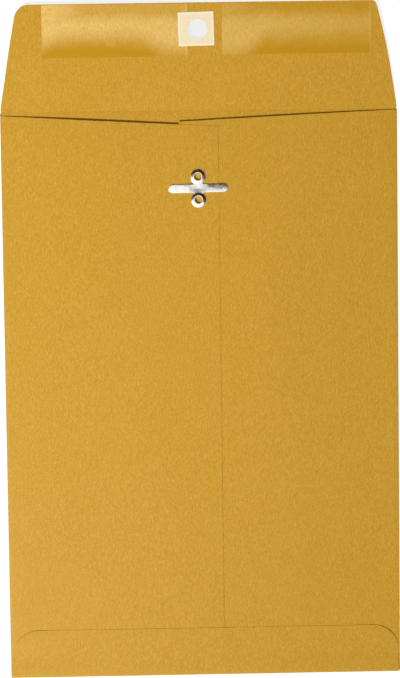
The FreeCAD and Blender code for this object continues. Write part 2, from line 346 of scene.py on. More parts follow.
def fold(bm, edges, centre, axis, angle, steps):
    """Rolls the sheet round a fold. Returns the fold's points and its last edges."""
    before = set(bm.verts)
    geometry = edges + list({v for edge in edges for v in edge.verts})
    last = bmesh.ops.spin(bm, geom=geometry, cent=centre, axis=axis, angle=angle, steps=steps)["geom_last"]
    return [v for v in bm.verts if v not in before], edges_in(last)


def make_object(name, bm, materials, sharp=35):
    """Puts a finished bmesh into the scene, smooth but for its sharp edges."""
    mesh = bpy.data.meshes.new(name)
    bm.to_mesh(mesh)
    bm.free()
    piece = bpy.data.objects.new(name, mesh)
    bpy.context.scene.collection.objects.link(piece)
    for material in materials:
        mesh.materials.append(material)
    finish_shading(mesh, sharp)
    return piece


def finish_shading(mesh, sharp):
    mesh.polygons.foreach_set("use_smooth", [True] * len(mesh.polygons))
    mesh.set_sharp_from_angle(angle=math.radians(sharp))


def give_thickness(piece, thickness, rim=0):
    """Gives an outer face its thickness, with the rim in the material that comes so many places later."""
    solid = piece.modifiers.new("thickness", "SOLIDIFY")
    solid.thickness = thickness
    solid.offset = -1
    solid.material_offset_rim = rim


def keep_result(piece, sharp=35):
    """Puts what the modifiers give into the mesh."""
    bpy.context.view_layer.update()
    result = piece.evaluated_get(bpy.context.evaluated_depsgraph_get())
    mesh = bpy.data.meshes.new_from_object(result)
    piece.modifiers.clear()
    piece.data = mesh
    finish_shading(mesh, sharp)


def punch(piece, holes):
    """Cuts round holes given as (centre, way, radius, depth)."""
    bm = bmesh.new()
    for centre, way, radius, depth in holes:
        turn = Vector((0, 0, 1)).rotation_difference(way).to_matrix().to_4x4()
        bmesh.ops.create_cone(
            bm,
            cap_ends=True,
            segments=ROUND_STEPS,
            radius1=radius,
            radius2=radius,
            depth=depth,
            matrix=Matrix.Translation(centre) @ turn,
        )
    tool = make_object("punch", bm, [])
    cut = piece.modifiers.new("holes", "BOOLEAN")
    cut.object = tool
    cut.operation = "DIFFERENCE"
    cut.solver = "EXACT"
    keep_result(piece)
    bpy.data.objects.remove(tool)


# Materials


def colour_sockets(sockets):
    return [socket for socket in sockets if socket.type == "RGBA"]


class Recipe:
    """A node material, with short calls for the nodes that this object's finishes use."""

    def __init__(self, name):
        self.material = bpy.data.materials.new(name)
        self.material.use_nodes = True
        self.tree = self.material.node_tree
        self.shader = self.tree.nodes["Principled BSDF"]
        self.place = self.tree.nodes.new("ShaderNodeTexCoord").outputs["Object"]

    def link(self, source, target):
        self.tree.links.new(source, target)

    def stretch(self, scale, turn=0.0):
        """The place, turned about Z and stretched."""
        node = self.tree.nodes.new("ShaderNodeMapping")
        node.inputs["Rotation"].default_value = (0, 0, math.radians(turn))
        node.inputs["Scale"].default_value = scale
        self.link(self.place, node.inputs["Vector"])
        return node.outputs["Vector"]

    def cloud(self, place, scale, detail=3.0, rough=0.55, distortion=0.0):
        node = self.tree.nodes.new("ShaderNodeTexNoise")
        node.inputs["Scale"].default_value = scale
        node.inputs["Detail"].default_value = detail
        node.inputs["Roughness"].default_value = rough
        node.inputs["Distortion"].default_value = distortion
        self.link(place, node.inputs["Vector"])
        return node.outputs["Fac"]

    def ramp(self, value, low, high, out_low=0.0, out_high=1.0):
        """value, stretched from low..high to out_low..out_high and held there."""
        node = self.tree.nodes.new("ShaderNodeMapRange")
        node.interpolation_type = "SMOOTHSTEP"
        limits = {"From Min": low, "From Max": high, "To Min": out_low, "To Max": out_high}
        for socket, number in limits.items():
            node.inputs[socket].default_value = number
        self.link(value, node.inputs["Value"])
        return node.outputs["Result"]

    def maths(self, operation, a, b):
        node = self.tree.nodes.new("ShaderNodeMath")
        node.operation = operation
        for socket, value in zip(node.inputs, (a, b)):
            if isinstance(value, float):
                socket.default_value = value
            else:
                self.link(value, socket)
        return node.outputs["Value"]

    def blend(self, share, first, second):
        """Mixes two colours, each a colour or another node's output."""
        node = self.tree.nodes.new("ShaderNodeMix")
        node.data_type = "RGBA"
        for socket, colour in zip(colour_sockets(node.inputs), (first, second)):
            if isinstance(colour, tuple):
                socket.default_value = (*colour, 1)
            else:
                self.link(colour, socket)
        if isinstance(share, float):
            node.inputs["Factor"].default_value = share
        else:
            self.link(share, node.inputs["Factor"])
        return colour_sockets(node.outputs)[0]

    def axis(self, name, place=None):
        node = self.tree.nodes.new("ShaderNodeSeparateXYZ")
        self.link(place or self.place, node.inputs["Vector"])
        return node.outputs[name]

    def turned(self, angle, centre):
        """The place, turned about an upright line through the centre."""
        node = self.tree.nodes.new("ShaderNodeVectorRotate")
        node.rotation_type = "Z_AXIS"
        node.inputs["Center"].default_value = centre
        node.inputs["Angle"].default_value = angle
        self.link(self.place, node.inputs["Vector"])
        return node.outputs["Vector"]

    def bump(self, height, depth, strength=1.0, under=None):
        node = self.tree.nodes.new("ShaderNodeBump")
        node.inputs["Strength"].default_value = strength
        node.inputs["Distance"].default_value = depth
        self.link(height, node.inputs["Height"])
        if under is not None:
            self.link(under, node.inputs["Normal"])
        return node.outputs["Normal"]

    def finish(self, colour, rough, normal=None, **settings):
        self.link(colour, self.shader.inputs["Base Color"])
        if isinstance(rough, float):
            self.shader.inputs["Roughness"].default_value = rough
        else:
            self.link(rough, self.shader.inputs["Roughness"])
        if normal is not None:
            self.link(normal, self.shader.inputs["Normal"])
        for socket, value in settings.items():
            self.shader.inputs[socket.replace("_", " ")].default_value = value
        return self.material


KRAFT_DARK = (0.515, 0.268, 0.007)
KRAFT_MID = (0.595, 0.318, 0.016)
KRAFT_LIGHT = (0.690, 0.382, 0.046)
KRAFT_FIBRE = (0.780, 0.480, 0.085)
KRAFT_SHIVE = (0.420, 0.198, 0.008)

# The sheet's grain, and the short fibres: how they are stretched, then each set's turn and relative size
GRAIN = (1.0, 0.6, 1.0)
FIBRE_STRETCH = (2700, 430, 900)
FIBRE_SETS = ((18, 1.0), (-40, 1.17), (72, 1.08), (-78, 0.93))


def kraft_colour(recipe):
    """Mottled kraft: soft clouds, fine blotches along the grain, and short fibres, pale and dark."""
    blotch = recipe.cloud(recipe.stretch(GRAIN), scale=1500, detail=4, rough=0.75)
    blotch = recipe.ramp(blotch, 0.32, 0.68)
    cloudy = recipe.ramp(recipe.cloud(recipe.place, scale=60, detail=2), 0.3, 0.7)
    colour = recipe.blend(blotch, KRAFT_DARK, KRAFT_LIGHT)
    colour = recipe.blend(0.30, colour, KRAFT_MID)
    lighter = recipe.blend(0.12, colour, KRAFT_LIGHT)
    colour = recipe.blend(cloudy, colour, lighter)
    across, along, through = FIBRE_STRETCH
    for turn, size in FIBRE_SETS:
        strand = recipe.stretch((across * size, along * size, through), turn)
        strand = recipe.cloud(strand, scale=1.0, detail=1, rough=0.5, distortion=0.8)
        colour = recipe.blend(recipe.ramp(strand, 0.62, 0.74, 0.0, 0.34), colour, KRAFT_FIBRE)
        colour = recipe.blend(recipe.ramp(strand, 0.36, 0.26, 0.0, 0.30), colour, KRAFT_SHIVE)
    return colour, blotch


def kraft_bump(recipe):
    """The felt of the paper's face, with a finer tooth in it."""
    fine = recipe.cloud(recipe.place, scale=2600, rough=0.6)
    felt = recipe.cloud(recipe.stretch(GRAIN), scale=700)
    return recipe.bump(felt, 0.05 * MM, 0.5, under=recipe.bump(fine, 0.02 * MM, 0.6))


def kraft_material():
    """The paper's two faces."""
    recipe = Recipe("kraft paper")
    colour, blotch = kraft_colour(recipe)
    rough = recipe.ramp(blotch, 0.0, 1.0, 0.50, 0.62)
    return recipe.finish(colour, rough, kraft_bump(recipe), Specular_IOR_Level=0.21)


def cut_edge_material():
    """The raw edge of the sheet, where the fibres stand open and pale."""
    recipe = Recipe("kraft cut edge")
    fibres = recipe.cloud(recipe.stretch((900, 900, 9000)), scale=1.0, rough=0.6)
    colour = recipe.blend(recipe.ramp(fibres, 0.3, 0.7), KRAFT_MID, KRAFT_FIBRE)
    return recipe.finish(colour, 0.9)


# The gum's deep colour is partly painted dark reflection, and its milky colour partly painted sheen.
GUM_DEEP_AND_DARK_REFLECTION = (0.548, 0.276, 0.003)
GUM_MILKY_AND_SHEEN = (0.880, 0.565, 0.172)

# Where the gum changes: up from its thin line, in from its left end and down from the flap's tip. Along its
# right end a ridge of gum is painted milky, partly as painted sheen.
GUM_WANDER = 5 * MM
GUM_THICKENS = (-2 * MM, 10.5 * MM)
GUM_END_DROP_REACH = 9 * MM
GUM_MILK_AND_SHEEN_FROM_TIP = (1 * MM, 10 * MM)
GUM_TIP_DEEP_AND_DARK_REFLECTION_FADES = (2 * MM, 9 * MM)
GUM_RIDGE = (1.0 * MM, 0.4 * MM)
GUM_RIDGE_MILK_AND_SHEEN = 0.5


def gum_material(name, strip):
    """Dried gum over the kraft: milky where it is thick, clear and deep where it ran out thin. The milky
    colour is partly painted sheen, stronger towards the left end, and the deep colour partly painted dark
    reflection.
    """
    recipe = Recipe(name)
    colour, _ = kraft_colour(recipe)
    across = recipe.axis("X")
    up_flap = recipe.maths("SUBTRACT", recipe.axis("Y"), FOLD_Y)
    wander = recipe.cloud(recipe.place, scale=130, rough=0.6)
    wander = recipe.maths("MULTIPLY", recipe.maths("SUBTRACT", wander, 0.5), GUM_WANDER)
    start, end = strip["ends"]
    thin_line = recipe.ramp(across, *strip["knee"], *strip["thin_above"])
    end_drop = recipe.ramp(across, start, start + GUM_END_DROP_REACH, strip["end_drop"], 0.0)
    thin_line = recipe.maths("SUBTRACT", thin_line, end_drop)
    from_thin = recipe.maths("ADD", recipe.maths("SUBTRACT", up_flap, thin_line), wander)
    thick = recipe.ramp(from_thin, *GUM_THICKENS)
    from_tip = recipe.maths("ADD", recipe.maths("SUBTRACT", FLAP, up_flap), wander)
    milk_and_sheen_at_tip = recipe.ramp(across, *strip["tip_knee"], *strip["tip_milk_and_sheen"])
    tip_milk_and_sheen = recipe.maths("MAXIMUM", recipe.ramp(from_tip, *GUM_MILK_AND_SHEEN_FROM_TIP), milk_and_sheen_at_tip)
    wrinkles = recipe.cloud(recipe.stretch((1.0, 0.38, 1.0)), scale=1500, detail=4, rough=0.75)
    # Painted sheen: the milky colour, strongest where the gum is thick and towards the left end.
    milk_and_sheen = recipe.maths("MULTIPLY", thick, tip_milk_and_sheen)
    milk_and_sheen = recipe.maths("MULTIPLY", milk_and_sheen, recipe.ramp(wrinkles, 0.30, 0.70, 0.58, 1.20))
    ridge_start, ridge_full = GUM_RIDGE
    ridge_milk_and_sheen = recipe.ramp(across, end - ridge_start, end - ridge_full, 0.0, GUM_RIDGE_MILK_AND_SHEEN)
    milk_and_sheen_level = recipe.ramp(across, start, end, *strip["milk_and_sheen"])
    milk_and_sheen = recipe.maths("MULTIPLY", recipe.maths("ADD", milk_and_sheen, ridge_milk_and_sheen), milk_and_sheen_level)
    # Painted dark reflection: the deep colour, in the thin lower band and near the flap's tip.
    deep_and_dark_reflection_at_tip = recipe.ramp(from_tip, *GUM_TIP_DEEP_AND_DARK_REFLECTION_FADES, strip["tip_deep_and_dark_reflection"], 0.0)
    deep_and_dark_reflection = recipe.maths("MAXIMUM", recipe.maths("SUBTRACT", 1.0, thick), deep_and_dark_reflection_at_tip)
    mottle = recipe.ramp(wrinkles, 0.3, 0.7, 0.98, 0.80)
    colour = recipe.blend(recipe.maths("MULTIPLY", deep_and_dark_reflection, mottle), colour, GUM_DEEP_AND_DARK_REFLECTION)
    colour = recipe.blend(milk_and_sheen, colour, GUM_MILKY_AND_SHEEN)
    normal = recipe.bump(wrinkles, 0.06 * MM, 0.6)
    rough = recipe.ramp(wrinkles, 0.3, 0.7, 0.36, 0.50)
    gloss = {"Coat_Weight": 0.12, "Coat_Roughness": 0.35, "Specular_IOR_Level": 0.15}
    return recipe.finish(colour, rough, normal, **gloss)


PATCH_CREAM = (0.965, 0.825, 0.560)
PATCH_WARM = (0.900, 0.730, 0.430)
PATCH_EDGE = (0.998, 0.935, 0.740)
PATCH_BAND = (1.0 * MM, 0.4 * MM)


def patch_material():
    """Cream patch paper, paler in a narrow band along its edges."""
    recipe = Recipe("cream patch")
    soft = recipe.cloud(recipe.place, scale=900, detail=4, rough=0.75)
    soft = recipe.ramp(soft, 0.32, 0.62)
    colour = recipe.blend(soft, PATCH_WARM, PATCH_CREAM)
    colour = recipe.blend(0.30, colour, PATCH_CREAM)
    middle_y = FOLD_Y + PATCH_CENTRE[1] * math.cos(FLAP_RISE)
    square = recipe.turned(-PATCH_TURN, (PATCH_CENTRE[0], middle_y, 0.0))
    band_start, band_full = PATCH_BAND
    bands = []
    for axis, middle, size in zip("XY", (PATCH_CENTRE[0], middle_y), PATCH_SIZE):
        away = recipe.maths("ABSOLUTE", recipe.maths("SUBTRACT", recipe.axis(axis, square), middle), 0.0)
        bands.append(recipe.ramp(away, size / 2 - band_start, size / 2 - band_full))
    edge = recipe.maths("MAXIMUM", *bands)
    colour = recipe.blend(recipe.maths("MULTIPLY", edge, 0.8), colour, PATCH_EDGE)
    normal = recipe.bump(recipe.cloud(recipe.place, scale=1800), 0.02 * MM, 0.5)
    return recipe.finish(colour, 0.62, normal, Specular_IOR_Level=0.4)


ADHESIVE_DARK = (0.62, 0.50, 0.28)
ADHESIVE_PALE = (0.78, 0.68, 0.44)


def adhesive_material():
    """Dried adhesive, streaked where it was spread."""
    recipe = Recipe("dried adhesive")
    streaks = recipe.cloud(recipe.stretch((60, 500, 60)), scale=1.0)
    colour = recipe.blend(recipe.ramp(streaks, 0.3, 0.7), ADHESIVE_DARK, ADHESIVE_PALE)
    return recipe.finish(colour, 0.45, recipe.bump(streaks, 0.03 * MM))


METAL_BRIGHT = (0.96, 0.95, 0.92)
METAL_SMEARED = (0.86, 0.85, 0.81)
BARREL_BRIGHT = (0.90, 0.88, 0.84)
BARREL_DULL = (0.80, 0.78, 0.73)


def metal_material():
    """Bright tinned steel with drawing marks, shallow dents, fine pits and duller smears."""
    recipe = Recipe("tinned steel")
    pits = recipe.cloud(recipe.place, scale=2600, rough=0.6)
    drawn = recipe.cloud(recipe.stretch((260, 3200, 900)), scale=1.0, rough=0.6)
    dents = recipe.cloud(recipe.place, scale=330, detail=1, rough=0.5)
    smear = recipe.ramp(recipe.cloud(recipe.place, scale=420, rough=0.6), 0.35, 0.68)
    colour = recipe.blend(smear, METAL_BRIGHT, METAL_SMEARED)
    rough = recipe.ramp(smear, 0.0, 1.0, 0.15, 0.25)
    normal = recipe.bump(dents, 0.12 * MM, 0.5)
    normal = recipe.bump(pits, 0.02 * MM, 0.5, under=normal)
    normal = recipe.bump(drawn, 0.014 * MM, 0.6, under=normal)
    return recipe.finish(colour, rough, normal, Metallic=1.0)


def barrel_material():
    """Lip and inside of a drawn barrel: satin, so that it throws light down on the paper behind it."""
    recipe = Recipe("drawn barrel")
    rings = recipe.cloud(recipe.stretch((300, 300, 4000)), scale=1.0, detail=2, rough=0.5)
    colour = recipe.blend(rings, BARREL_BRIGHT, BARREL_DULL)
    return recipe.finish(colour, 0.85, Metallic=1.0)


kraft = kraft_material()
cut_edge = cut_edge_material()
patch_paper = patch_material()
adhesive = adhesive_material()
metal = metal_material()
barrel_metal = barrel_material()


# The folded sheet


def step_list(length, count):
    """Even steps over a length."""
    return [length / count] * count


def corner_stations(radius, count):
    """Places before the end of an edge that follow its round corner closely."""
    return [radius * math.sin(math.pi / 2 * i / count) - radius for i in range(count + 1)]


def gaps_of(stations):
    return [b - a for a, b in zip(stations, stations[1:])]


def shape_back(points, side):
    """Brings the back panel's points to its throat line and its crown."""
    start = BOTTOM_Y + BOTTOM_FOLD
    for v in points:
        share = (v.co.y - start) / (FOLD_Y - start)
        y = WRAP_START + share * (throat_y(side, v.co.x) - WRAP_START)
        v.co = (v.co.x, y, back_height(side, v.co.x, y))


def shape_fold(points, side):
    """Slants a side fold's two ends, so that it meets the front panel and the back panel."""
    start = BOTTOM_Y + BOTTOM_FOLD
    for v in points:
        share = (v.co.y - start) / (FOLD_Y - start)
        y = WRAP_START + share * (throat_y(side, side * INNER_HALF) - WRAP_START)
        v.co.y += (y - v.co.y) * v.co.z / (2 * SIDE_FOLD)


def lift_front(points):
    """Brings the front panel up a little behind the clasp."""
    for v in points:
        away = (v.co.xy - CLASP_CENTRE.xy).length
        v.co.z += FRONT_LIFT * smooth(1 - away / FRONT_LIFT_REACH)


def panel_top(x, y):
    """Height of the two back panels under the bottom flap, eased where the left one ends."""
    on_left = smooth((LEFT_REACH + LAP_EASE - x) / LAP_EASE)
    right, left = back_height(1, x, y), back_height(-1, x, y)
    return right + on_left * (left - right)


def bottom_flap_under(x, y):
    """Underside of the bottom flap: it leaves the fold and settles on the back panels."""
    settled = eased(y - BOTTOM_Y, *BOTTOM_FLAP_SETTLES)
    lifted = 2 * BOTTOM_FOLD - PAPER
    from_end = y - BOTTOM_Y - BOTTOM_FLAP
    curl = FLAP_EDGE_CURL * eased(from_end, *EDGE_CURLS)
    curl += FLAP_CORNER_CURL * eased(abs(x), *CORNER_CURLS_ACROSS) * eased(from_end, *CORNER_CURLS_ALONG)
    return lifted + settled * (panel_top(x, y) + FLAP_SEAT_GAP + curl - lifted)


def shape_bottom_flap(points):
    """Draws the bottom flap in a little from the folds, rounds its corners and lays it down."""
    end = BOTTOM_Y + BOTTOM_FLAP
    for v in points:
        corner = BOTTOM_FLAP_CORNER[-1 if v.co.x < 0 else 1]
        into_corner = max(v.co.y - (end - corner), 0.0)
        cut = corner - math.sqrt(max(corner**2 - into_corner**2, 0.0))
        drawn_in = BOTTOM_FLAP_INSET * eased(v.co.y - BOTTOM_Y - BOTTOM_FOLD, *BOTTOM_FLAP_DRAWN_IN)
        v.co.x *= (INNER_HALF - drawn_in - cut) / INNER_HALF
        v.co.z = bottom_flap_under(v.co.x, v.co.y) + PAPER


def shape_flap(points):
    """Tapers the closing flap, slants its tip, rounds its corners and raises it."""
    left, right = FLAP_SIDES[-1]["length"], FLAP_SIDES[1]["length"]
    for v in points:
        across = v.co.x / INNER_HALF
        tip = (left + right) / 2 + across * (right - left) / 2
        along = (v.co.y - FOLD_Y) * tip / FLAP
        side = -1 if across < 0 else 1
        edge_along = (v.co.y - FOLD_Y) * FLAP_SIDES[side]["length"] / FLAP
        v.co = flap_place(across * flap_half_width(side, edge_along), along, 0.0)


def folded_sheet():
    """The whole sheet's outer face, folded, then given the paper's thickness and its holes."""
    start = BOTTOM_Y + BOTTOM_FOLD
    bm = flat_grid(-INNER_HALF, INNER_HALF, start, FOLD_Y, FRONT_COLUMNS, FRONT_ROWS)
    lift_front(bm.verts)
    sides = {side: open_edges(bm, lambda co: abs(co.x - side * INNER_HALF) < NEAR) for side in (-1, 1)}
    bottom = open_edges(bm, lambda co: abs(co.y - start) < NEAR)
    top = open_edges(bm, lambda co: abs(co.y - FOLD_Y) < NEAR)
    backs = {}
    for side in (-1, 1):
        centre = (side * INNER_HALF, 0, SIDE_FOLD)
        around, edges = fold(bm, sides[side], centre, (0, 1, 0), -side * math.pi, FOLD_STEPS)
        reach = INNER_HALF + (LEFT_REACH if side < 0 else RIGHT_REACH)
        panel = grow(bm, edges, step_list(reach, PANEL_STEPS), Vector((-side, 0, 0)))
        backs[side] = (around, panel)
    centre = (0, start, BOTTOM_FOLD)
    _, edges = fold(bm, bottom, centre, (1, 0, 0), -math.pi, FOLD_STEPS)
    widest = max(BOTTOM_FLAP_CORNER.values())
    steps = step_list(BOTTOM_FLAP - BOTTOM_FOLD - widest, LOWER_FLAP_STEPS)
    steps += gaps_of(corner_stations(widest, LOWER_CORNER_STEPS))
    lower_flap = grow(bm, edges, steps, Vector((0, 1, 0)))
    wide, tight = FLAP_SIDES[-1]["corner"], FLAP_SIDES[1]["corner"]
    steps = step_list(FLAP_BEND, BEND_STEPS) + step_list(FLAP - FLAP_BEND - wide, UPPER_FLAP_STEPS)
    tip_stations = corner_stations(wide, WIDE_CORNER_STEPS)
    tip_stations += corner_stations(tight, TIGHT_CORNER_STEPS)[1:-1]
    steps += gaps_of(sorted(tip_stations))
    upper_flap = grow(bm, top, steps, Vector((0, 1, 0)))
    for side, (around, panel) in backs.items():
        shape_fold(around, side)
        shape_back(panel, side)
    shape_bottom_flap(lower_flap)
    shape_flap(upper_flap)
    bmesh.ops.remove_doubles(bm, verts=bm.verts, dist=SAME_POINT)
    bmesh.ops.recalc_face_normals(bm, faces=bm.faces)
    front = next(face for face in bm.faces if all(abs(v.co.z) < NEAR and v.co.y < 0 for v in face.verts))
    if front.normal.z > 0:
        bmesh.ops.reverse_faces(bm, faces=bm.faces)
    piece = make_object("folded_kraft_sheet", bm, [kraft, cut_edge])
    give_thickness(piece, PAPER, rim=1)
    keep_result(piece)
    upright = Vector((0, 0, 1))
    square_to_flap = Vector((0, -math.sin(FLAP_RISE), math.cos(FLAP_RISE)))
    holes = [(flap_place(*HOLE, 0.0), square_to_flap, HOLE_RADIUS, HOLE_PUNCH)]
    for centre in eyelet_centres():
        above_front = Vector((centre.x, centre.y, EYELET_PUNCH_HEIGHT))
        holes.append((above_front, upright, EYELET_HOLE, EYELET_PUNCH))
    punch(piece, holes)
    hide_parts("kraft_sheet")
    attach(piece, "envelope")


def bottom_glue():
    """The film of glue that holds the bottom flap on the two back panels."""
    half = BOTTOM_GLUE["half"]
    bm = flat_grid(-half, half, BOTTOM_GLUE["low"], BOTTOM_GLUE["high"], GLUE_COLUMNS, GLUE_ROWS)
    upper = points_in(bmesh.ops.extrude_face_region(bm, geom=bm.faces[:])["geom"])
    for v in bm.verts:
        if v in upper:
            v.co.z = bottom_flap_under(v.co.x, v.co.y) - GLUE_CLEARANCE
        else:
            v.co.z = panel_top(v.co.x, v.co.y) + GLUE_CLEARANCE
    bmesh.ops.recalc_face_normals(bm, faces=bm.faces)
    piece = make_object("bottom_glue_film", bm, [adhesive])
    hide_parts("bottom_flap_glue")
    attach(piece, "envelope")


# What is on the flap


def film(name, node, gum_strip):
    """A film of gum on the flap, notched where it stops at the patch."""
    x0, x1 = gum_strip["ends"]
    left_low, low = gum_strip["low"]
    bm = flat_grid(x0, x1, low, GUM_TOP, FILM_COLUMNS, FILM_ROWS)
    notch_x = PATCH_CENTRE[0] - PATCH_SIZE[0] / 2
    notch_low = PATCH_CENTRE[1] - PATCH_SIZE[1] / 2
    notch_high = PATCH_CENTRE[1] + PATCH_SIZE[1] / 2
    if x0 < notch_x < x1:
        cuts = (
            ((notch_x, 0, 0), (1, 0, 0)),
            ((0, notch_low, 0), (0, 1, 0)),
            ((0, notch_high, 0), (0, 1, 0)),
        )
        for place, way in cuts:
            parts = bm.verts[:] + bm.edges[:] + bm.faces[:]
            bmesh.ops.bisect_plane(bm, geom=parts, plane_co=place, plane_no=way)
        notch = []
        for face in bm.faces:
            centre = face.calc_center_median()
            if centre.x > notch_x and notch_low < centre.y < notch_high:
                notch.append(face)
        bmesh.ops.delete(bm, geom=notch, context="FACES")
    for v in bm.verts:
        from_low = v.co.y - low
        wander = GUM_EDGE_WANDER * waves_at(v.co.x, v.co.y, GUM_EDGE_WAVES, seed=2.0)
        wander *= 1 - eased(from_low, *GUM_EDGE_WANDERS)
        sag = (left_low - low) * (1 - eased(v.co.x - x0, *GUM_SAGS_ACROSS))
        sag *= 1 - eased(from_low, *GUM_SAGS_ALONG)
        v.co = flap_place(v.co.x, v.co.y + wander + sag, PAPER + GUM)
    piece = make_object(name, bm, [gum_material(name.replace("_", " "), gum_strip)])
    give_thickness(piece, GUM)
    keep_result(piece)
    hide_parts(node)
    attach(piece, "envelope")


def hole_patch():
    """The patch: rings of points spread from the round hole to the square edge."""
    bm = bmesh.new()
    bmesh.ops.create_circle(bm, cap_ends=False, segments=PATCH_POINTS, radius=1.0)
    edges = bm.edges[:]
    ring_of = {v: 0 for v in bm.verts}
    for ring in range(1, PATCH_RINGS + 1):
        made = bmesh.ops.extrude_edge_only(bm, edges=edges)["geom"]
        points = points_in(made)
        ring_of.update({v: ring for v in points})
        edges = edges_between(made, points)
    half_x, half_y = PATCH_SIZE[0] / 2, PATCH_SIZE[1] / 2
    for v, ring in ring_of.items():
        way = Vector((v.co.x, v.co.y)).normalized()
        inner = Vector(HOLE) + way * HOLE_RADIUS
        largest = max(abs(way.x), abs(way.y))
        outer = Vector((way.x / largest * half_x, way.y / largest * half_y))
        outer = Vector(PATCH_CENTRE) + Matrix.Rotation(PATCH_TURN, 2) @ outer
        place = inner.lerp(outer, ring / PATCH_RINGS)
        v.co = flap_place(place.x, place.y, PAPER + PATCH_THICKNESS)
    bmesh.ops.recalc_face_normals(bm, faces=bm.faces)
    bm.faces.ensure_lookup_table()
    if bm.faces[0].normal.z < 0:
        bmesh.ops.reverse_faces(bm, faces=bm.faces)
    piece = make_object("hole_patch", bm, [patch_paper])
    give_thickness(piece, PATCH_THICKNESS)
    keep_result(piece)
    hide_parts("flap_hole_patch")
    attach(piece, "envelope")


# The clasp


def clasp_frame():
    """Turns and moves a piece modelled square at the origin to the clasp's place."""
    move = Matrix.Translation((CLASP_CENTRE.x, CLASP_CENTRE.y, CLASP_LEVEL))
    return move @ Matrix.Rotation(CLASP_TURN, 4, "Z")


def eyelet_centres():
    return [clasp_frame() @ Vector((0, end * EYELET_SPACING / 2, 0)) for end in (-1, 1)]


def strip_half_width(along):
    """Half the clasp's width at a distance from its middle: neck, fillet, prong."""
    neck = NECK / 2
    half = PRONG_WIDTH / 2
    if along < neck:
        return NECK_REACH
    if along < neck + NECK_FILLET:
        return half + NECK_FILLET - math.sqrt(NECK_FILLET**2 - (neck + NECK_FILLET - along) ** 2)
    return half


def clasp_strip(side, name, node):
    """Half of the stamping's cross, from its middle to a prong's round tip."""
    bm = bmesh.new()
    tip_centre = PRONG_REACH - PRONG_WIDTH / 2
    columns = PRONG_COLUMNS + PRONG_TIP_COLUMNS
    bmesh.ops.create_grid(bm, x_segments=columns, y_segments=PRONG_ROWS, size=0.5)
    for v in bm.verts:
        column = round((v.co.x + 0.5) * columns)
        share = v.co.y * 2
        if column <= PRONG_COLUMNS:
            x = tip_centre * column / PRONG_COLUMNS
            half = strip_half_width(x)
        else:
            turn = math.pi / 2 * (column - PRONG_COLUMNS) / PRONG_TIP_COLUMNS
            x = tip_centre + PRONG_WIDTH / 2 * math.sin(turn)
            half = PRONG_WIDTH / 2 * math.cos(turn)
        y = share * half
        beyond_root = eased(x, PRONG_ROOT, FORM_FROM_ROOT)
        crowned = -PRONG_CROWN * share * share * beyond_root
        crowned -= PRONG_DROOP * eased(x, PRONG_ROOT, PRONG_REACH - PRONG_ROOT)
        dents = PRONG_DENTS * waves_at(side * x, y, DENT_WAVES, seed=3.0 + side) * beyond_root
        twist = (PRONG_TWIST[side] * y + PRONG_LIFT) * beyond_root
        v.co = (side * x, y, METAL + crowned + dents + twist)
    bmesh.ops.remove_doubles(bm, verts=bm.verts, dist=SAME_POINT)
    upper = bm.verts[:]
    lower = points_in(bmesh.ops.extrude_face_region(bm, geom=bm.faces[:])["geom"])
    bmesh.ops.translate(bm, verts=list(lower), vec=(0, 0, -METAL))
    for v in upper:
        v.co.z -= DIMPLE_DEPTH * math.exp(-v.co.xy.length_squared / DIMPLE_RADIUS**2)
    bmesh.ops.recalc_face_normals(bm, faces=bm.faces)
    rim = []
    for edge in bm.edges:
        at_middle = all(abs(v.co.x) < NEAR for v in edge.verts)
        if not at_middle and edge.calc_face_angle(0) > RIM_ANGLE:
            rim.append(edge)
    bmesh.ops.bevel(
        bm, geom=rim, offset=RIM_ROUND, segments=4, affect="EDGES", profile=0.5, material=-1
    )
    bmesh.ops.transform(bm, matrix=clasp_frame(), verts=bm.verts)
    piece = make_object(name, bm, [metal], sharp=50)
    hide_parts(node)
    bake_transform(piece)


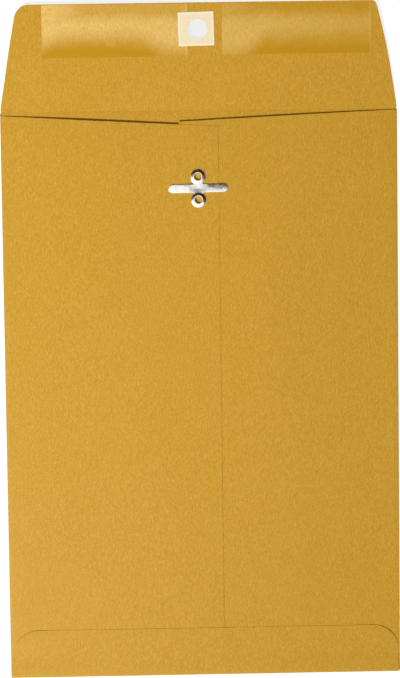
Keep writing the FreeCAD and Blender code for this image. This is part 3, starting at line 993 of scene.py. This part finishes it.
def eyelets():
    """Two domed rings with their barrels and the rolls inside the pocket, spun from one profile."""
    bm = bmesh.new()
    crest = BORE_RADIUS + RING_CREST
    roll_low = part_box("clasp_base")[0].z - CLASP_LEVEL
    profile = [(RING_RADIUS, 0.0)]
    for i in range(ARC_STEPS + 1):
        turn = math.pi * i / ARC_STEPS
        if i < ARC_STEPS / 2:
            rise = CONE * (1 - math.cos(turn)) + (1 - CONE) * math.sin(turn)
            height = RING_RIM + (DOME - RING_RIM) * rise
            profile.append((crest + (RING_RADIUS - crest) * math.cos(turn), height))
        else:
            profile.append((crest + RING_CREST * math.cos(turn), DOME * math.sin(turn)))
    roll_end = BORE_RADIUS + ROLL_REACH
    profile += [
        (BORE_RADIUS, roll_low + ROLL_FLARE),
        (BORE_RADIUS + 0.1 * ROLL_FLARE, roll_low + 0.4 * ROLL_FLARE),
        (BORE_RADIUS + 0.4 * ROLL_FLARE, roll_low + 0.1 * ROLL_FLARE),
        (BORE_RADIUS + ROLL_FLARE, roll_low),
        (roll_end, roll_low),
        (roll_end, roll_low + BARREL_WALL),
        (BORE_RADIUS + BARREL_WALL, roll_low + BARREL_WALL),
        (BORE_RADIUS + BARREL_WALL, 0.0),
    ]
    for centre in (-EYELET_SPACING / 2, EYELET_SPACING / 2):
        points = [bm.verts.new((radius, centre, height)) for radius, height in profile]
        edges = [bm.edges.new((a, b)) for a, b in zip(points, points[1:] + points[:1])]
        bmesh.ops.spin(
            bm,
            geom=points + edges,
            cent=(0, centre, 0),
            axis=(0, 0, 1),
            angle=2 * math.pi,
            steps=ROUND_STEPS,
            use_merge=True,
        )
    bmesh.ops.remove_doubles(bm, verts=bm.verts, dist=SAME_POINT / 2)
    bmesh.ops.recalc_face_normals(bm, faces=bm.faces)
    for face in bm.faces:
        middle = face.calc_center_median()
        from_centre = math.hypot(middle.x, abs(middle.y) - EYELET_SPACING / 2)
        reach = RING_CREST if middle.z > 0.0 else BARREL_WALL / 2
        if from_centre < BORE_RADIUS + reach:
            face.material_index = 1
    bmesh.ops.transform(bm, matrix=clasp_frame(), verts=bm.verts)
    piece = make_object("clasp_eyelets", bm, [metal, barrel_metal], sharp=50)
    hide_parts("clasp_base")
    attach(piece, "envelope")


# Floor, light and camera


FLOOR_DARK = (0.25, 0.25, 0.245)
FLOOR_PALE = (0.27, 0.27, 0.265)
# Painted shade: a darker floor colour and a weaker glow in a spot under the flap's hole.
FLOOR_PAINTED_SHADE_IN_HOLE = (0.09, 0.09, 0.085)
FLOOR_GLOW = 0.83
HOLE_PAINTED_SHADE_GLOW = 0.77
PAINTED_SHADE_SPOT = (HOLE_RADIUS + 1 * MM, HOLE_RADIUS + 4 * MM)
FLOOR_HALF = 4.0
FLOOR_DROP = 0.05 * MM


def floor_material():
    """White where nothing shades it, dark enough to show the shadow, and grey under the flap's hole, where
    a spot of painted shade lies.
    """
    recipe = Recipe("pale floor")
    nodes = recipe.tree.nodes
    faint = recipe.ramp(recipe.cloud(recipe.place, scale=3.0, detail=2), 0.0, 1.0)
    colour = recipe.blend(faint, FLOOR_DARK, FLOOR_PALE)
    from_hole = nodes.new("ShaderNodeVectorMath")
    from_hole.operation = "DISTANCE"
    from_hole.inputs[1].default_value = (HOLE[0], FOLD_Y + HOLE[1], 0.0)
    recipe.link(recipe.place, from_hole.inputs[0])
    # Painted shade: the floor darkens within this spot under the flap's hole.
    beyond_painted_shade = recipe.ramp(from_hole.outputs["Value"], *PAINTED_SHADE_SPOT)
    colour = recipe.blend(beyond_painted_shade, FLOOR_PAINTED_SHADE_IN_HOLE, colour)
    recipe.finish(colour, 0.9, Specular_IOR_Level=0.1)
    light_path = nodes.new("ShaderNodeLightPath")
    seen = recipe.maths("MAXIMUM", light_path.outputs["Is Camera Ray"], light_path.outputs["Is Glossy Ray"])
    seen = recipe.maths("MAXIMUM", seen, light_path.outputs["Is Transmission Ray"])
    glow = recipe.ramp(beyond_painted_shade, 0.0, 1.0, HOLE_PAINTED_SHADE_GLOW, FLOOR_GLOW)
    glow = recipe.maths("MULTIPLY", seen, glow)
    recipe.shader.inputs["Emission Color"].default_value = (1, 1, 1, 1)
    recipe.link(glow, recipe.shader.inputs["Emission Strength"])
    return recipe.material


def stage_floor():
    """The floor is only there to be seen and to take the shadow: it is no part of the envelope."""
    bm = bmesh.new()
    bmesh.ops.create_grid(bm, x_segments=1, y_segments=1, size=FLOOR_HALF)
    bmesh.ops.translate(bm, verts=bm.verts, vec=(0, 0, -FLOOR_DROP))
    floor = make_object("floor", bm, [floor_material()])


KEY_PLACE = Vector((-0.46, -0.525, 0.90))
KEY_TARGET = Vector((-0.48, 0.46, 0.70))
KEY_SIZE = 0.18
KEY_WATTS = 20.1


def key_light():
    """A disk lamp turned away from the sheet, whose light fades across it."""
    lamp = bpy.data.lights.new("key", "AREA")
    lamp.shape = "DISK"
    lamp.size = KEY_SIZE
    lamp.energy = KEY_WATTS
    holder = bpy.data.objects.new("key", lamp)
    bpy.context.scene.collection.objects.link(holder)
    holder.location = KEY_PLACE
    holder.rotation_euler = (KEY_TARGET - KEY_PLACE).to_track_quat("-Z", "Y").to_euler()


ROOM_COLOUR = (1.0, 0.95, 0.88, 1)
ROOM_LIGHT = 0.235
ROOM_BRIGHT_SIDE = Vector((-0.157, -0.527, 0.88))
ROOM_TONES = (
    (0.68, (0.032, 0.014, 0.005, 1)),
    (0.77, (0.130, 0.105, 0.070, 1)),
    (0.81, (0.240, 0.215, 0.170, 1)),
    (0.87, (1.06, 1.05, 1.03, 1)),
)
ROOM_WALLS = (0.60, 0.58, 0.55, 1)
WALLS_TOP, CEILING_FROM = 0.50, 0.68


def world_light():
    """Soft room light. Metal mirrors a white ceiling, dark towards the upper right, and grey walls."""
    world = bpy.data.worlds.new("studio")
    bpy.context.scene.world = world
    world.use_nodes = True
    tree = world.node_tree
    room = tree.nodes["Background"]
    room.inputs["Color"].default_value = ROOM_COLOUR
    room.inputs["Strength"].default_value = ROOM_LIGHT
    direction = tree.nodes.new("ShaderNodeTexCoord").outputs["Generated"]
    side = tree.nodes.new("ShaderNodeVectorMath")
    side.operation = "DOT_PRODUCT"
    side.inputs[1].default_value = ROOM_BRIGHT_SIDE
    tree.links.new(direction, side.inputs[0])
    tones = tree.nodes.new("ShaderNodeValToRGB")
    tree.links.new(side.outputs["Value"], tones.inputs["Fac"])
    for place, _ in ROOM_TONES[1:-1]:
        tones.color_ramp.elements.new(place)
    for element, (place, colour) in zip(tones.color_ramp.elements, ROOM_TONES):
        element.position = place
        element.color = colour
    height = tree.nodes.new("ShaderNodeSeparateXYZ")
    tree.links.new(direction, height.inputs["Vector"])
    ceiling = tree.nodes.new("ShaderNodeMapRange")
    ceiling.interpolation_type = "SMOOTHSTEP"
    ceiling.inputs["From Min"].default_value = WALLS_TOP
    ceiling.inputs["From Max"].default_value = CEILING_FROM
    tree.links.new(height.outputs["Z"], ceiling.inputs["Value"])
    seen_room = tree.nodes.new("ShaderNodeMix")
    seen_room.data_type = "RGBA"
    walls, above = colour_sockets(seen_room.inputs)
    walls.default_value = ROOM_WALLS
    tree.links.new(tones.outputs["Color"], above)
    tree.links.new(ceiling.outputs["Result"], seen_room.inputs["Factor"])
    mirrored = tree.nodes.new("ShaderNodeBackground")
    tree.links.new(colour_sockets(seen_room.outputs)[0], mirrored.inputs["Color"])
    white = tree.nodes.new("ShaderNodeBackground")
    white.inputs["Color"].default_value = (1, 1, 1, 1)
    light_path = tree.nodes.new("ShaderNodeLightPath")
    below = room.outputs[0]
    seen_by = {"Is Glossy Ray": mirrored, "Is Camera Ray": white, "Is Transmission Ray": white}
    for ray, shader in seen_by.items():
        mix = tree.nodes.new("ShaderNodeMixShader")
        tree.links.new(light_path.outputs[ray], mix.inputs[0])
        tree.links.new(below, mix.inputs[1])
        tree.links.new(shader.outputs[0], mix.inputs[2])
        below = mix.outputs[0]
    tree.links.new(below, tree.nodes["World Output"].inputs["Surface"])


CAMERA_PLACE = (-13.89 * MM, 65.37 * MM, 687.4 * MM)
CAMERA_TURN = (-3.3014, -1.1298, -0.7471)
CAMERA_HALF_VIEW = math.radians(12.5)
SENSOR = 36.0


def set_camera():
    """Looks down on the envelope from 0.69 m, as the photograph does."""
    data = bpy.data.cameras.new("camera")
    camera = bpy.data.objects.new("camera", data)
    bpy.context.scene.collection.objects.link(camera)
    data.sensor_width = SENSOR
    data.lens = SENSOR / 2 / math.tan(CAMERA_HALF_VIEW)
    data.clip_start = 0.01
    data.clip_end = 20.0
    camera.location = CAMERA_PLACE
    camera.rotation_euler = Euler([math.radians(angle) for angle in CAMERA_TURN], "XYZ")
    bpy.context.scene.camera = camera


folded_sheet()
bottom_glue()
film("gum_film_left", "flap_gum_left", LEFT_GUM)
film("gum_film_right", "flap_gum_right", RIGHT_GUM)
hole_patch()
eyelets()
clasp_strip(-1, "clasp_strip_left", "clasp_prong_left")
clasp_strip(1, "clasp_strip_right", "clasp_prong_right")
seam_glue = frame["nodes"]["centre_seam_glue"].data
seam_glue.materials.clear()
seam_glue.materials.append(adhesive)

stage_floor()
key_light()
world_light()
bpy.context.scene.view_settings.view_transform = "Standard"
set_camera()
